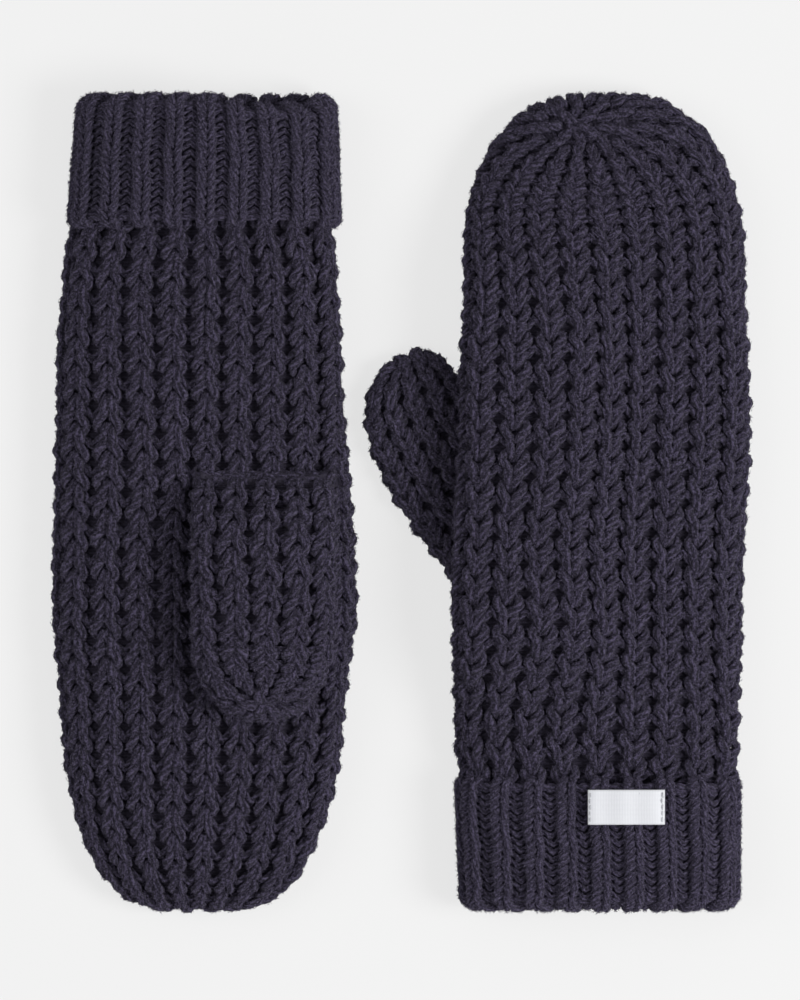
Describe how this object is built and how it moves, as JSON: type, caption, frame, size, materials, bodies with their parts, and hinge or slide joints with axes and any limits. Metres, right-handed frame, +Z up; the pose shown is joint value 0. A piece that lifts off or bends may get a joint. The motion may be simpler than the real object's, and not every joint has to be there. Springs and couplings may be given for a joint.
{
  "type": "pair of knitted mittens",
  "caption": "Pair of chunky knitted wool mittens with turned-up ribbed cuffs, lying flat: one palm up, one back up, thumbs free to move.",
  "frame": {"origin": "on the surface the pair lies on, under the middle of the pair", "axes": "+X from the left mitten to the right mitten, +Y along the right mitten's fingers, +Z up from the surface"},
  "size_m": [0.2475, 0.291, 0.0435],
  "materials": {
    "hand_knit": "matte chunky half-fisherman knit in dark aubergine-navy wool",
    "rib_knit": "matte chunky one by one rib in the same wool",
    "sewing_yarn": "matte plied yarn",
    "label_weave": "satin woven tape, blank",
    "tacking_thread": "fine twisted thread"
  },
  "bodies": {
    "right_mitten": {"right_hand_palm": "hand_knit", "right_hand_back": "hand_knit", "right_inner_rib_palm": "rib_knit", "right_inner_rib_back": "rib_knit", "right_crown_yarn": "sewing_yarn", "right_thumb_join_yarn": "sewing_yarn"},
    "right_turned_cuff": {"right_cuff_palm": "rib_knit", "right_cuff_back": "rib_knit", "right_cuff_fold": "rib_knit", "woven_label": "label_weave", "label_stitch_left": "tacking_thread", "label_stitch_right": "tacking_thread"},
    "right_thumb": {"right_thumb_upper": "hand_knit", "right_thumb_lower": "hand_knit", "right_thumb_tip_yarn": "sewing_yarn"},
    "left_mitten": {"left_hand_palm": "hand_knit", "left_hand_back": "hand_knit", "left_inner_rib_palm": "rib_knit", "left_inner_rib_back": "rib_knit", "left_crown_yarn": "sewing_yarn", "left_thumb_join_yarn": "sewing_yarn"},
    "left_turned_cuff": {"left_cuff_palm": "rib_knit", "left_cuff_back": "rib_knit", "left_cuff_fold": "rib_knit"},
    "left_thumb": {"left_thumb_upper": "hand_knit", "left_thumb_lower": "hand_knit", "left_thumb_tip_yarn": "sewing_yarn"}
  },
  "joints": [
    {"name": "right_thumb_swing", "type": "hinge", "parent": "right_mitten", "child": "right_thumb", "pos_m": [0.0386, -0.0215, 0.007], "axis": [0, 0, 1], "range_deg": [-20, 0]},
    {"name": "right_cuff_turn_down", "type": "slide", "parent": "right_mitten", "child": "right_turned_cuff", "axis": [0, -1, 0], "range_m": [0, 0.04]},
    {"name": "pair_spacing", "type": "slide", "parent": "right_mitten", "child": "left_mitten", "axis": [-1, 0, 0], "range_m": [0, 0.12]},
    {"name": "left_thumb_lift", "type": "hinge", "parent": "left_mitten", "child": "left_thumb", "pos_m": [-0.0495, 0.0007, 0.0343], "axis": [-1, 0, 0], "range_deg": [0, 75]},
    {"name": "left_cuff_turn_down", "type": "slide", "parent": "left_mitten", "child": "left_turned_cuff", "axis": [0, 1, 0], "range_m": [0, 0.04]}
  ]
}
